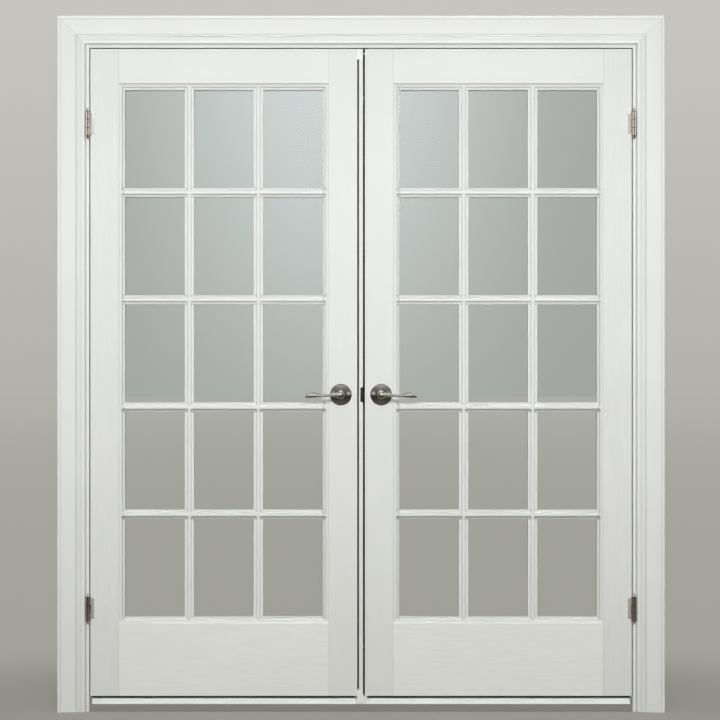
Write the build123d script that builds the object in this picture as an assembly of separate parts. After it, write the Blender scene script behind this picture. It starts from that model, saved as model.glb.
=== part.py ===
from build123d import *
import os

# A pair of inswing French doors in their frame. X runs to the right, Y to the outside, Z up.
# The origin is on the floor, under the middle of the sill and halfway through the jambs' depth.
# All sizes are in millimetres.

# Leaves
leaf_width = 838.0
leaf_height = 2032.0
leaf_thickness = 44.5
stile_width = 88.0
top_rail_height = 108.0
bottom_rail_height = 227.0
panes_across = 3
panes_up = 5
bar_width = 29.0
tenon_length = 50.0
tenon_thickness = 15.0
tenon_shoulder = 15.0
tenon_play = 0.2

# Gaps round the leaves
side_gap = 3.5
head_gap = 3.5
sill_gap = 7.5
meeting_gap = 24.5

# Moulding round the glass, as distances from the edge of the daylight and depths below the face
bead_width = 10.5
bead_fillet = 6.0
bead_edge_depth = 9.6
bead_fillet_depth = 8.6
band_width = 3.5
band_depth = 3.5
ovolo_width = 6.0

# Glass
glass_thickness = 5.0
pane_bite = 8.0

# Jambs
jamb_thickness = 32.0
jamb_depth = 116.0
stop_height = 12.5
seal_space = 5.0
seal_width = 9.0
seal_clearance = 0.4

# Interior casing
casing_width = 86.0
casing_thickness = 17.5
casing_edge = 8.5
casing_reveal = 12.5
casing_arris = 2.0
casing_band = 8.6
casing_step = 0.9
casing_field_end = 56.5
casing_hollow = 1.0
casing_groove = 1.6
casing_bead_start = 59.5
casing_bead_end = 64.0
casing_bead_rise = 1.5
casing_flat_start = 67.5
casing_round = 3.5

# Exterior trim
brickmould_width = 51.0
brickmould_thickness = 30.0
brickmould_reveal = 8.0

# Sill
sill_height = 24.0
sill_nose = 40.0
sill_nose_height = 12.0
sill_foot = 3.0
sill_setback = 1.0
deck_thickness = 2.0
cap_height = 18.5
cap_depth = 42.0
cap_slope = 6.0
end_pad_width = 7.5
end_pad_play = 0.5
sweep_gap = 0.6
sweep_inset = 5.0

# Hinges
hinge_height = 76.0
hinge_top_inset = 235.0
hinge_bottom_inset = 274.0
knuckle_radius = 7.0
knuckle_count = 3
knuckle_play = 0.3
pin_radius = 3.4
pin_play = 0.05
axis_offset = 5.0
axis_proud = 9.0
plate_thickness = 2.2
plate_depth = 36.0
return_width = 11.5
return_height = 64.0
return_thickness = 2.0
arm_lap = 1.2
tip_length = 10.5

# Astragal on the passive leaf
astragal_face = 12.0
astragal_groove_depth = 34.0
flange_thickness = 14.0
flange_lap_fixed = 14.0
flange_head_gap = 3.0
flange_lap_active = 12.0
flange_seal = 3.2
end_block_height = 33.0
bottom_block_height = 19.0
foot_lap = 6.0
foot_drop = 25.0
foot_thickness = 3.0
foot_clearance = 1.0
foot_play = 2.0

# Flush bolts
bolt_width = 6.0
bolt_depth = 12.0
bolt_length = 160.0
bolt_travel = 20.0
bolt_play = 0.3
bolt_inset = 1.0
bolt_setback = 3.0
bolt_hole_play = 1.5
button_width = 5.0
button_length = 14.0
button_proud = 1.6
button_play = 0.3
keeper_thickness = 2.0
keeper_width = 22.0
keeper_length = 44.0

# Lock and levers
handle_height = 946.0
backset = 51.0
rose_radius = 34.0
rose_depth = 9.0
hub_radius = 12.5
lever_reach = 57.0
lever_length = 112.0
lever_root = 9.5
lever_bend = 34.0
lever_bend_top = 3.6
lever_bend_low = 6.0
lever_neck = 64.0
lever_neck_top = 0.6
lever_neck_low = 6.5
lever_flare = 74.0
lever_flare_top = 3.4
lever_crest = 84.0
lever_rise = 6.0
lever_belly = 90.0
lever_drop = 9.0
lever_fall = 101.0
lever_fall_top = 2.2
lever_thickness = 10.0
lever_tip_thickness = 5.0
lever_play = 0.3
spindle_width = 8.0
spindle_grip = 12.0
spindle_room = 12.4
latch_case_length = 76.0
latch_case_height = 62.0
latch_case_width = 16.0
face_plate_width = 22.0
face_plate_height = 84.0
face_plate_thickness = 2.4
latch_bolt_height = 15.0
latch_bolt_width = 12.0
latch_bolt_reach = 11.5
latch_bolt_length = 32.0
latch_play = 0.3
latch_shoulder = 1.0
strike_height = 53.0
strike_thickness = 1.5
strike_lip = 8.0
strike_depth = 28.0
strike_play = 1.5

# Cutters run past the faces that they open by this much
overrun = 1.0

# Places that follow from the sizes
sticking_width = bead_width + band_width + ovolo_width
sill_top = sill_height + cap_height
leaf_bottom = sill_top + sill_gap
leaf_top = leaf_bottom + leaf_height
face_in = -jamb_depth / 2
face_out = face_in + leaf_thickness
stop_face = face_out + seal_space
lock_edge = meeting_gap / 2
hinge_edge = lock_edge + leaf_width
jamb_face = hinge_edge + side_gap
head_face = leaf_top + head_gap
jamb_back = jamb_face + jamb_thickness
head_back = head_face + jamb_thickness
casing_inner = jamb_face + casing_reveal
axis_x = hinge_edge + side_gap / 2 + axis_offset
axis_y = face_in - axis_proud
handle_z = leaf_bottom + handle_height
handle_x = lock_edge + backset
leaf_middle = (face_in + face_out) / 2
glass_in = (leaf_thickness - glass_thickness) / 2
glass_out = leaf_thickness - glass_in
pane_width = (leaf_width - 2 * (stile_width + sticking_width) - (panes_across - 1) * bar_width) / panes_across
glass_bottom = bottom_rail_height + sticking_width
glass_top = leaf_height - top_rail_height - sticking_width
pane_height = (glass_top - glass_bottom - (panes_up - 1) * bar_width) / panes_up
pane_lefts = [stile_width + sticking_width + i * (pane_width + bar_width) for i in range(panes_across)]
pane_bottoms = [glass_bottom + i * (pane_height + bar_width) for i in range(panes_up)]
bar_xs = [left - bar_width / 2 for left in pane_lefts[1:]]
bar_zs = [low - bar_width / 2 for low in pane_bottoms[1:]]
web = bar_width / 2 - bead_width


def block(x, y, z):
    """A box from three (low, high) pairs."""
    size = [high - low for low, high in (x, y, z)]
    middle = [(high + low) / 2 for low, high in (x, y, z)]
    return Pos(*middle) * Box(*size)


def upright(points, low, high):
    """An outline in X and Y carried up from one height to another."""
    return Pos(0, 0, low) * extrude(make_face(Polyline(*points, close=True)), high - low)


def crosswise(outline, low, high):
    """A face drawn in Y and Z carried along X from one place to another."""
    plane = Plane(origin=(low, 0, 0), x_dir=(0, 1, 0), z_dir=(1, 0, 0))
    return extrude(plane * outline, high - low)


def through(points, low, high):
    """An outline in X and Z carried through the depth Y."""
    plane = Plane(origin=(0, low, 0), x_dir=(1, 0, 0), z_dir=(0, -1, 0))
    return extrude(plane * make_face(Polyline(*points, close=True)), -(high - low))


def rod(radius, low, high, x, y):
    """A round bar standing upright."""
    return Pos(x, y, (low + high) / 2) * Cylinder(radius, high - low)


def lying(radius, low, high, x, z):
    """A round bar that points through the depth."""
    return Pos(x, (low + high) / 2, z) * Rot(90, 0, 0) * Cylinder(radius, high - low)


def around(middle, width):
    """A (low, high) pair about a middle."""
    return (middle - width / 2, middle + width / 2)


def flipped(piece):
    """The same piece on the other side of the middle."""
    return mirror(piece, about=Plane.YZ)


# Leaf, drawn with its hinge edge at X 0, its inside face at Y 0 and its bottom at Z 0


def inside_moulding():
    """The bead's outline from the daylight edge outwards: distance, then depth below the inside face."""
    return [(0, glass_in), (0, bead_edge_depth), (bead_fillet, bead_fillet_depth), (bead_width, band_depth)]


def outside_moulding():
    """The bevel worked on the wood of the outside face, from the flat to the daylight edge."""
    return [(bead_width, leaf_thickness - band_depth), (0, leaf_thickness - bead_edge_depth), (0, glass_out)]


def sticking_outline():
    """A member's moulded edge: ovolo, band and bead seat inside, the whole moulding outside."""
    band_edge = bead_width + band_width
    return [
        (sticking_width, 0),
        (band_edge, band_depth),
        (bead_width, band_depth),
        (bead_width, glass_out),
        (0, glass_out),
        *reversed(outside_moulding()[:-1]),
        (band_edge, leaf_thickness - band_depth),
        (sticking_width, leaf_thickness),
    ]


def bar_outline():
    """A glazing bar's section, as distance from its middle and depth."""
    half = bar_width / 2
    side = [(half - u, y) for u, y in reversed(outside_moulding())]
    right = [(web, band_depth), (web, glass_out)] + side
    return right + [(-x, y) for x, y in reversed(right)]


def bar_end(reach):
    """Where a bar's end is coped into its neighbour, as half-widths of the bar."""
    half = bar_width / 2
    return [(reach, half), (reach + bead_width, web), (reach + bead_width, -web), (reach, -half)]


def cross_bar():
    """One short bar, centred on its own length."""
    half = pane_width / 2
    ends = bar_end(half)
    plan = ends + [(-x, z) for x, z in reversed(ends)]
    section = make_face(Polyline(*[(y, z) for z, y in bar_outline()], close=True))
    return crosswise(section, -half - bead_width, half + bead_width) & through(plan, 0, leaf_thickness)


def cope(x, z, side):
    """The notch that takes a cross bar's end, on the right of an upright for side 1, on its left for -1."""
    half = bar_width / 2
    wide, narrow = side * half, side * web
    corners = [(wide, half), (narrow, web), (narrow, -web), (wide, -half)]
    return through([(x + a, z + c) for a, c in corners], 0, leaf_thickness)


def upright_bar():
    """One full-height bar, centred on X 0, notched for the cross bars."""
    half = bar_width / 2
    low, high = glass_bottom - bead_width, glass_top + bead_width
    plan = [
        (-web, low), (web, low), (half, glass_bottom), (half, glass_top),
        (web, high), (-web, high), (-half, glass_top), (-half, glass_bottom),
    ]
    bar = upright(bar_outline(), low, high) & through(plan, 0, leaf_thickness)
    for z in bar_zs:
        bar = bar - cope(0, z, 1) - cope(0, z, -1)
    return bar


def mortise(low, high):
    """The pocket in a stile for a rail's tenon."""
    middle = leaf_thickness / 2
    half = tenon_thickness / 2 + tenon_play
    depth = stile_width - tenon_length - tenon_play
    heights = (low + tenon_shoulder - tenon_play, high - tenon_shoulder + tenon_play)
    return block((depth, stile_width), (middle - half, middle + half), heights)


def stile():
    """A stile on the hinge side, with its moulding mitred into the rails."""
    glass_edge = stile_width + sticking_width
    low, high = bottom_rail_height, leaf_height - top_rail_height
    plan = [(stile_width, low), (stile_width, high), (glass_edge, glass_top), (glass_edge, glass_bottom)]
    section = [(glass_edge - u, y) for u, y in sticking_outline()]
    moulding = upright(section, low, high) & through(plan, 0, leaf_thickness)
    piece = block((0, stile_width), (0, leaf_thickness), (0, leaf_height)) + moulding
    for z in bar_zs:
        piece -= cope(glass_edge - bar_width / 2, z, 1)
    return piece - mortise(0, bottom_rail_height) - mortise(high, leaf_height)


def rail(height, moulded_edge):
    """A rail from its outer edge at Z 0 up to its height, then its moulding."""
    left, right = stile_width, leaf_width - stile_width
    plan = [
        (left, height), (right, height),
        (right - sticking_width, moulded_edge), (left + sticking_width, moulded_edge),
    ]
    section = make_face(Polyline(*[(y, moulded_edge - u) for u, y in sticking_outline()], close=True))
    moulding = crosswise(section, left, right) & through(plan, 0, leaf_thickness)
    middle = leaf_thickness / 2
    tenon = block(
        (left - tenon_length, right + tenon_length),
        (middle - tenon_thickness / 2, middle + tenon_thickness / 2),
        (tenon_shoulder, height - tenon_shoulder),
    )
    piece = block((left, right), (0, leaf_thickness), (0, height)) + moulding + tenon
    half = bar_width / 2
    for x in bar_xs:
        corners = [(half, half), (web, web), (-web, web), (-half, half)]
        seat = [(x + a, moulded_edge - half + c) for a, c in corners]
        piece -= through(seat, 0, leaf_thickness)
    return piece


def turned_over(piece):
    """A rail for the bottom turned to be the one at the top."""
    return mirror(piece, about=Plane.XY.offset(leaf_height / 2))


def glazing_beads():
    """The four mitred strips round one pane, centred on the pane."""
    w, h = pane_width / 2, pane_height / 2
    bw, bh = w + bead_width, h + bead_width
    profile = inside_moulding() + [(bead_width, glass_in)]
    flat = make_face(Polyline(*[(y, -h - u) for u, y in profile], close=True))
    low = crosswise(flat, -bw, bw) & through([(-w, -h), (w, -h), (bw, -bh), (-bw, -bh)], 0, glass_in)
    side = upright([(-w - u, y) for u, y in profile], -bh, bh)
    side &= through([(-w, -h), (-w, h), (-bw, bh), (-bw, -bh)], 0, glass_in)
    return [low, side, mirror(low, about=Plane.XY), mirror(side, about=Plane.YZ)]


def glass_pane():
    """One pane, centred on its opening."""
    w, h = pane_width / 2 + pane_bite, pane_height / 2 + pane_bite
    return block((-w, w), (glass_in, glass_out), (-h, h))


def hinge_bottoms():
    """The height above the leaf's bottom where each hinge starts."""
    return [hinge_bottom_inset - hinge_height / 2, leaf_height - hinge_top_inset - hinge_height / 2]


def plate_seat(low):
    """The mortise for a hinge plate in the stile's edge."""
    return block((0, plate_thickness), (0, plate_depth), (low, low + hinge_height))


def leaf_pieces():
    """Every wooden and glass piece of one leaf, by name, at the place of the left leaf."""
    place = Pos(-hinge_edge, face_in, leaf_bottom)
    hinge_stile = stile()
    lock_stile = mirror(hinge_stile, about=Plane.YZ.offset(leaf_width / 2))
    for low in hinge_bottoms():
        hinge_stile -= plate_seat(low)
    low_rail = rail(bottom_rail_height, glass_bottom)
    high_rail = turned_over(rail(top_rail_height, top_rail_height + sticking_width))
    bar, short_bar = upright_bar(), cross_bar()
    beads, pane = glazing_beads(), glass_pane()
    centres = [
        (left + pane_width / 2, low + pane_height / 2) for left in pane_lefts for low in pane_bottoms
    ]
    sweep = block(
        (end_pad_width, leaf_width - foot_lap - foot_play), (sweep_inset, leaf_thickness - sweep_inset),
        (sweep_gap - sill_gap, 0),
    )
    pieces = {
        "hinge_stile": [hinge_stile],
        "lock_stile": [lock_stile],
        "top_rail": [high_rail],
        "bottom_rail": [low_rail],
        "upright_bars": [Pos(x, 0, 0) * bar for x in bar_xs],
        "cross_bars": [
            Pos(left + pane_width / 2, 0, z) * short_bar for left in pane_lefts for z in bar_zs
        ],
        "glazing_beads": [Pos(x, 0, z) * strip for x, z in centres for strip in beads],
        "glass_panes": [Pos(x, 0, z) * pane for x, z in centres],
        "bottom_sweep": [sweep],
    }
    return {name: [place * piece for piece in group] for name, group in pieces.items()}


# Frame


def sill_section():
    """The base's outline in Y and Z, flat under the cap and sloping to its nose."""
    front = face_in + sill_setback
    cap_back = front + cap_depth
    nose = jamb_depth / 2 + sill_nose
    return [
        (front, 0), (front, sill_height), (cap_back, sill_height),
        (cap_back, sill_height - deck_thickness), (nose, sill_nose_height), (nose, 0),
    ]


def sill_base():
    """The base, whose ends widen downwards under the jambs' cut feet."""
    spread = jamb_face + casing_reveal
    far = spread + overrun
    base = crosswise(make_face(Polyline(*sill_section(), close=True)), -spread, spread)
    wedge = through(
        [(spread, sill_foot), (jamb_face, sill_height), (far, sill_height), (far, sill_foot)],
        face_in, jamb_depth / 2 + sill_nose + overrun,
    )
    return base - wedge - flipped(wedge)


def sill_deck():
    """The metal sheet on the sloping part, turned down over the nose."""
    cap_back = face_in + sill_setback + cap_depth
    nose = jamb_depth / 2 + sill_nose
    skin = deck_thickness
    outline = [
        (cap_back, sill_height - skin), (nose, sill_nose_height), (nose, 0), (nose + skin, 0),
        (nose + skin, sill_nose_height + skin), (cap_back, sill_height),
    ]
    return crosswise(make_face(Polyline(*outline, close=True)), -jamb_face, jamb_face)


def sill_cap():
    """The white threshold strip that the leaves close over, with a sloping front."""
    front = face_in + sill_setback
    back = front + cap_depth
    reach = jamb_face - end_pad_width - end_pad_play
    edge = cap_slope / 2
    outline = [
        (front, sill_height), (front, sill_height + edge), (front + cap_slope, sill_top - edge / 2),
        (front + cap_slope + edge, sill_top), (back - edge, sill_top), (back, sill_top - edge),
        (back, sill_height),
    ]
    return crosswise(make_face(Polyline(*outline, close=True)), -reach, reach)


def end_pad():
    """The small pad between the cap's left end and the jamb."""
    front = face_in + sill_setback
    inner = -jamb_face + end_pad_width
    return block((-jamb_face, inner), (front, front + cap_depth), (sill_height, leaf_bottom - end_pad_play))


def side_jamb(below):
    """The left jamb: an L section whose thicker part is the stop, cut to the sill at its foot."""
    outline = [
        (-jamb_back, face_in), (-jamb_face, face_in), (-jamb_face, stop_face),
        (-jamb_face + stop_height, stop_face), (-jamb_face + stop_height, -face_in), (-jamb_back, -face_in),
    ]
    head_stop = block(
        (-jamb_face, -jamb_face + stop_height), (stop_face, -face_in), (head_face - stop_height, head_back)
    )
    jamb = upright(outline, 0, head_back) - head_stop - below
    for low in hinge_bottoms():
        seat = block(
            (-jamb_face - plate_thickness, -jamb_face), (face_in, face_in + plate_depth),
            (leaf_bottom + low, leaf_bottom + low + hinge_height),
        )
        jamb -= seat
    return jamb


def head_jamb(bolt_hole):
    """The head, between the side jambs, with its stop."""
    outline = [
        (face_in, head_face), (stop_face, head_face), (stop_face, head_face - stop_height),
        (-face_in, head_face - stop_height), (-face_in, head_back), (face_in, head_back),
    ]
    return crosswise(make_face(Polyline(*outline, close=True)), -jamb_face, jamb_face) - bolt_hole


def casing_profile():
    """The moulding's face as lines and arcs: distance from the outer edge, then thickness."""
    full, edge = casing_thickness, casing_edge
    field_start = casing_band + casing_arris
    field_top, field_foot = full - casing_step, edge + casing_hollow
    field = ((field_start + casing_field_end) / 2, (field_top + field_foot) / 2 - casing_hollow)
    groove_start = casing_field_end + casing_hollow
    groove = edge - casing_groove
    bead_top = ((casing_bead_start + casing_bead_end) / 2, edge + casing_bead_rise)
    last = casing_width - casing_round
    bend = casing_round * (1 - 0.5**0.5)
    return [
        Line((0, 0), (0, full - casing_arris)),
        Line((0, full - casing_arris), (casing_arris, full)),
        Line((casing_arris, full), (casing_band, full)),
        Line((casing_band, full), (field_start, field_top)),
        ThreePointArc((field_start, field_top), field, (casing_field_end, field_foot)),
        Line((casing_field_end, field_foot), (groove_start, groove)),
        Line((groove_start, groove), (casing_bead_start, groove)),
        ThreePointArc((casing_bead_start, groove), bead_top, (casing_bead_end, groove)),
        Line((casing_bead_end, groove), (casing_flat_start, edge)),
        Line((casing_flat_start, edge), (last, edge)),
        ThreePointArc((last, edge), (casing_width - bend, edge - bend), (casing_width, edge - casing_round)),
        Line((casing_width, edge - casing_round), (casing_width, 0)),
        Line((casing_width, 0), (0, 0)),
    ]


def side_casing():
    """The left leg, mitred at its top."""
    outer, top = casing_inner + casing_width, head_face + casing_reveal + casing_width
    lower_corner = head_face + casing_reveal
    plane = Plane(origin=(-outer, face_in, 0), x_dir=(1, 0, 0), z_dir=(0, 0, -1))
    leg = extrude(plane * make_face(casing_profile()), -top)
    plan = [(-outer, 0), (-casing_inner, 0), (-casing_inner, lower_corner), (-outer, top)]
    return leg & through(plan, face_in - casing_thickness, face_in)


def head_casing():
    """The head, mitred at both ends."""
    outer, top = casing_inner + casing_width, head_face + casing_reveal + casing_width
    lower_edge = head_face + casing_reveal
    plane = Plane(origin=(-outer, face_in, top), x_dir=(0, 0, -1), z_dir=(-1, 0, 0))
    bar = extrude(plane * make_face(casing_profile()), -2 * outer)
    plan = [(-outer, top), (outer, top), (casing_inner, lower_edge), (-casing_inner, lower_edge)]
    return bar & through(plan, face_in - casing_thickness, face_in)


def brickmould_outline():
    """Exterior trim: distance from its inner edge, then thickness."""
    w, t = brickmould_width, brickmould_thickness
    return [
        (0, 0), (0, 0.55 * t), (0.14 * w, 0.55 * t), (0.22 * w, 0.72 * t), (0.5 * w, 0.8 * t),
        (0.66 * w, t), (w, t), (w, 0),
    ]


def side_brickmould(below):
    """The left leg of the exterior trim, mitred at its top."""
    inner = jamb_face - stop_height + brickmould_reveal
    outer = inner + brickmould_width
    low_corner = head_face - stop_height + brickmould_reveal
    back = jamb_depth / 2
    leg = upright([(-inner - u, back + t) for u, t in brickmould_outline()], 0, low_corner + brickmould_width)
    plan = [(-outer, 0), (-inner, 0), (-inner, low_corner), (-outer, low_corner + brickmould_width)]
    return (leg & through(plan, back, back + brickmould_thickness)) - below


def head_brickmould():
    """The head of the exterior trim, mitred at both ends."""
    inner = jamb_face - stop_height + brickmould_reveal
    outer = inner + brickmould_width
    low = head_face - stop_height + brickmould_reveal
    back = jamb_depth / 2
    section = make_face(Polyline(*[(back + t, low + u) for u, t in brickmould_outline()], close=True))
    high = low + brickmould_width
    plan = [(-outer, high), (outer, high), (inner, low), (-inner, low)]
    return crosswise(section, -outer, outer) & through(plan, back, back + brickmould_thickness)


def weatherstrips():
    """Soft seals on the three stops, just clear of the closed leaves."""
    depth = (face_out + seal_clearance, stop_face)
    top = head_face - seal_clearance
    heights = (sill_top + seal_clearance, top)
    side = block((-jamb_face + seal_clearance, -jamb_face + seal_width), depth, heights)
    head = block((-jamb_face + seal_width, jamb_face - seal_width), depth, (head_face - seal_width, top))
    return [side, flipped(side), head]


# Hinges, drawn at the left leaf


def knuckles(low, first):
    """Every second knuckle of one hinge, with the bore for the pin."""
    pitch = hinge_height / knuckle_count
    gap = knuckle_play / 2
    out = []
    for i in range(first, knuckle_count, 2):
        start = low + i * pitch + (gap if i else 0)
        end = low + (i + 1) * pitch - (gap if i < knuckle_count - 1 else 0)
        out.append((start, end))
    return out


def with_knuckles(plate, arm, low, first):
    """A plate with its arms and knuckles joined, then bored."""
    for start, end in knuckles(low, first):
        plate += block(*arm, (start, end)) + rod(knuckle_radius, start, end, -axis_x, axis_y)
    bore = rod(pin_radius + pin_play, low - overrun, low + hinge_height + overrun, -axis_x, axis_y)
    return plate - bore


def frame_hinge_plate(low):
    """The plate let into the jamb, with the outer knuckles."""
    face = -jamb_face
    heights = (low, low + hinge_height)
    plate = block((face - plate_thickness, face), (face_in, face_in + plate_depth), heights)
    arm = ((face - plate_thickness, face), (axis_y, face_in))
    return with_knuckles(plate, arm, low, 0)


def leaf_hinge_plate(low):
    """The plate let into the leaf's edge, returned on its face, with the inner knuckles."""
    edge = -hinge_edge
    heights = (low, low + hinge_height)
    plate = block((edge, edge + plate_thickness), (face_in, face_in + plate_depth), heights)
    inset = (hinge_height - return_height) / 2
    plate += block(
        (edge, edge + return_width), (face_in - return_thickness, face_in),
        (low + inset, low + hinge_height - inset),
    )
    arm = ((edge - arm_lap, edge + plate_thickness), (axis_y + overrun, face_in))
    return with_knuckles(plate, arm, low, 1)


def hinge_pin(low):
    """The pin, with a tip standing out at each end of the barrel."""
    return rod(pin_radius, low - tip_length, low + hinge_height + tip_length, -axis_x, axis_y)


# Astragal and what it carries, at the meeting edges

strip_edge = astragal_face / 2
bolt_x = 0.0
bolt_y = leaf_middle + bolt_setback
flange_front = face_out
flange_back = face_out + flange_thickness
flange_edge = lock_edge + flange_lap_active
flange_top = head_face - stop_height - flange_head_gap
bolt_top = leaf_top - bolt_inset
bolt_low = bolt_top - bolt_length
low_bolt_bottom = leaf_bottom + bolt_inset
low_bolt_top = low_bolt_bottom + bolt_length


def astragal_outline():
    """The T section: face strip, groove beside the passive leaf, body, and the flange behind both leaves."""
    groove_floor = face_in + astragal_groove_depth
    return [
        (-strip_edge, face_in), (strip_edge, face_in), (strip_edge, flange_front + flange_seal),
        (flange_edge, flange_front + flange_seal), (flange_edge, flange_back),
        (-lock_edge - flange_lap_fixed, flange_back), (-lock_edge - flange_lap_fixed, flange_front),
        (-lock_edge, flange_front), (-lock_edge, groove_floor), (-strip_edge, groove_floor),
    ]


def end_zone(low, high):
    """The space in front of the flange that an end block fills."""
    return block((-lock_edge, strip_edge), (face_in, flange_front), (low, high))


def bolt_bar(low, high, play=0.0):
    """A flush bolt's flat bar, or with play the way that it slides in."""
    return block(around(bolt_x, bolt_width + 2 * play), around(bolt_y, bolt_depth + 2 * play), (low, high))


def button_slot(low, high):
    """The slot on the edge where a bolt's thumb button runs."""
    return block((bolt_x, strip_edge), around(bolt_y, button_width + 2 * button_play), (low, high))


def strike_pocket():
    """The hole in the astragal that the latch bolt enters."""
    reach = lock_edge - latch_bolt_reach - strike_play
    return block(
        (reach, strip_edge + overrun), around(leaf_middle, latch_bolt_width + 2 * strike_play),
        around(handle_z, latch_bolt_height + 2 * strike_play),
    )


def strike_face():
    """The part of the strike plate on the astragal's edge."""
    depth = (face_in, face_in + strike_depth + strike_lip)
    return block((strip_edge - strike_thickness, strip_edge), depth, around(handle_z, strike_height))


def strike_plate():
    """A plate on the astragal's edge with a lip turned on its face."""
    lip = block(
        (strip_edge - strike_lip, strip_edge), (face_in - strike_thickness, face_in),
        around(handle_z, strike_height - strike_lip),
    )
    return (strike_face() + lip) - strike_pocket()


def astragal():
    """The strip between the leaves, with its ways, slots, strike seat and end zones cut out."""
    body = upright(astragal_outline(), leaf_bottom, leaf_top)
    body -= block((-leaf_width, leaf_width), (flange_front, flange_back), (flange_top, leaf_top))
    body -= end_zone(leaf_top - end_block_height, leaf_top)
    body -= end_zone(leaf_bottom, leaf_bottom + bottom_block_height)
    body -= bolt_bar(bolt_low, leaf_top, bolt_play) + bolt_bar(leaf_bottom, low_bolt_top, bolt_play)
    run = button_length + bolt_travel + 2 * button_play
    body -= button_slot(bolt_low, bolt_low + run) + button_slot(low_bolt_top - run, low_bolt_top)
    return body - strike_pocket() - strike_face()


def end_blocks():
    """The plugs at the astragal's ends; the lower one has a foot that laps the sill cap."""
    low_top = leaf_bottom + bottom_block_height
    top = end_zone(leaf_top - end_block_height, leaf_top)
    low = end_zone(leaf_bottom, low_top)
    foot_back = face_in + sill_setback - foot_clearance
    foot_front = foot_back - foot_thickness
    low += block((-lock_edge, strip_edge), (foot_front, face_in), (leaf_bottom - sill_gap, low_top))
    low += block(
        (-lock_edge, lock_edge + foot_lap), (foot_front, foot_back),
        (leaf_bottom - foot_drop, leaf_bottom - end_pad_play),
    )
    way = bolt_bar(leaf_bottom, leaf_top, bolt_play)
    return [top - way, low - way]


def astragal_seal():
    """The soft strip between the flange and the active leaf."""
    return block(
        (strip_edge, flange_edge), (face_out + seal_clearance, flange_front + flange_seal),
        (leaf_bottom, flange_top),
    )


def thumb_button(low):
    """The button that slides a flush bolt."""
    return block(
        (bolt_x, strip_edge + button_proud), around(bolt_y, button_width), (low, low + button_length)
    )


def top_bolt():
    """A flush bolt with its thumb button, drawn back."""
    low = bolt_low + button_play
    return bolt_bar(low, bolt_top) + thumb_button(low)


def bottom_bolt():
    """The same bolt at the foot."""
    high = low_bolt_top - button_play
    return bolt_bar(low_bolt_bottom, high) + thumb_button(high - button_length)


def keeper_seat(low):
    """The recess for a keeper."""
    return block(around(bolt_x, keeper_length), around(bolt_y, keeper_width), (low, low + keeper_thickness))


def keeper(low):
    """A small plate with a hole for a flush bolt."""
    return keeper_seat(low) - bolt_bar(low, low + keeper_thickness, bolt_hole_play)


# Levers, drawn at the right leaf's inside face, then mirrored


def rose():
    """A round plate with a hole for the spindle."""
    depth = (face_in - rose_depth, face_in)
    hole = block(around(handle_x, spindle_room), depth, around(handle_z, spindle_room))
    return lying(rose_radius, face_in - rose_depth, face_in, handle_x, handle_z) - hole


def spindle():
    """The square bar that joins both levers."""
    reach = rose_depth + spindle_grip
    return block(
        around(handle_x, spindle_width), (face_in - reach, face_out + reach), around(handle_z, spindle_width)
    )


def lever_outline():
    """The arm seen from the front: a dip behind the hub, then a paddle with a high upper rim."""
    neck_top, neck_low = (lever_neck, -lever_neck_top), (lever_neck, -lever_neck_low)
    crest, tip = (lever_crest, lever_rise), (lever_length, -lever_rise)
    return make_face([
        Line((0, -lever_root), (0, lever_root)),
        ThreePointArc((0, lever_root), (lever_bend, lever_bend_top), neck_top),
        ThreePointArc(neck_top, (lever_flare, lever_flare_top), crest),
        ThreePointArc(crest, (lever_fall, lever_fall_top), tip),
        ThreePointArc(tip, (lever_belly, -lever_drop), neck_low),
        ThreePointArc(neck_low, (lever_bend, -lever_bend_low), (0, -lever_root)),
    ])


def lever():
    """A waved arm cut through from its front outline, thinned towards its tip, on a round hub."""
    front, back = face_in - lever_reach, face_in - lever_reach + lever_thickness
    plane = Plane(origin=(handle_x, front, handle_z), x_dir=(1, 0, 0), z_dir=(0, -1, 0))
    arm = extrude(plane * lever_outline(), -lever_thickness)
    tip_x = handle_x + lever_length
    thinning = upright(
        [(handle_x + hub_radius, back), (tip_x, front + lever_tip_thickness), (tip_x, back)],
        handle_z - 2 * hub_radius, handle_z + 2 * hub_radius,
    )
    return arm - thinning + lying(hub_radius, front, face_in - rose_depth - lever_play, handle_x, handle_z)


def other_face(piece):
    """The same piece on the outside face of its leaf."""
    return mirror(piece, about=Plane.XZ.offset(-leaf_middle))


def case_body(play=0.0):
    """The latch case without its face plate, or with play the mortise for it."""
    return block(
        (lock_edge, lock_edge + latch_case_length + play),
        around(leaf_middle, latch_case_width + 2 * play), around(handle_z, latch_case_height + 2 * play),
    )


def face_plate():
    """The plate on the leaf's edge."""
    return block(
        (lock_edge, lock_edge + face_plate_thickness),
        around(leaf_middle, face_plate_width), around(handle_z, face_plate_height),
    )


def spindle_hole():
    """The room that the spindle turns in."""
    return block(around(handle_x, spindle_room), (face_in, face_out), around(handle_z, spindle_room))


def latch_case():
    """The case with its face plate, open for the bolt and the spindle."""
    way = block(
        (lock_edge, lock_edge + latch_bolt_length + 2 * latch_play),
        around(leaf_middle, latch_bolt_width + 2 * latch_play),
        around(handle_z, latch_bolt_height + 2 * latch_play),
    )
    return case_body() + face_plate() - way - spindle_hole()


def latch_bolt():
    """The bevelled bolt, thrown."""
    tip = lock_edge - latch_bolt_reach
    back = tip + latch_bolt_length
    low, high = around(leaf_middle, latch_bolt_width)
    outline = [(tip, low), (back, low), (back, high), (lock_edge - latch_shoulder, high)]
    return upright(outline, *around(handle_z, latch_bolt_height))


# Everything by node

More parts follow.
